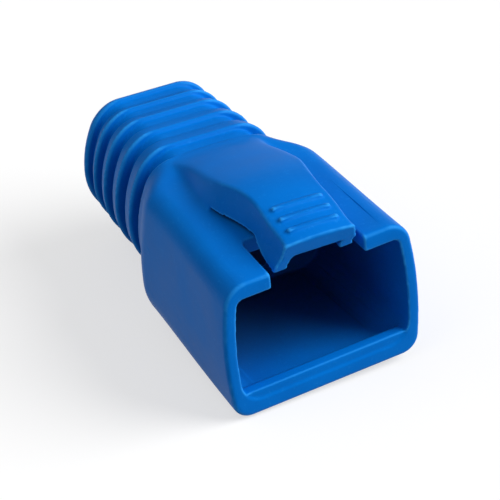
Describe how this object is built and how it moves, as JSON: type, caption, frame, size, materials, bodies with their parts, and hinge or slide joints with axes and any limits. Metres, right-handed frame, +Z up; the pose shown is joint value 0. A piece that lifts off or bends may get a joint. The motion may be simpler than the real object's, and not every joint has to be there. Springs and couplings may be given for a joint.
{
  "type": "strain relief boot",
  "caption": "Moulded boot for a modular plug: open box-shaped shell with a roof slot, an arched latch guard over it, and a ribbed neck for the cable.",
  "frame": {"origin": "centre of the footprint of the whole boot, on the flat underside", "axes": "+Z up out of the flat underside, +Y along the boot from the plug mouth to the cable end, +X across its width"},
  "size_m": [0.0142, 0.025, 0.0125],
  "materials": {
    "soft_plastic": "satin"
  },
  "bodies": {
    "root": {"strain_relief_boot": "soft_plastic"}
  },
  "joints": []
}
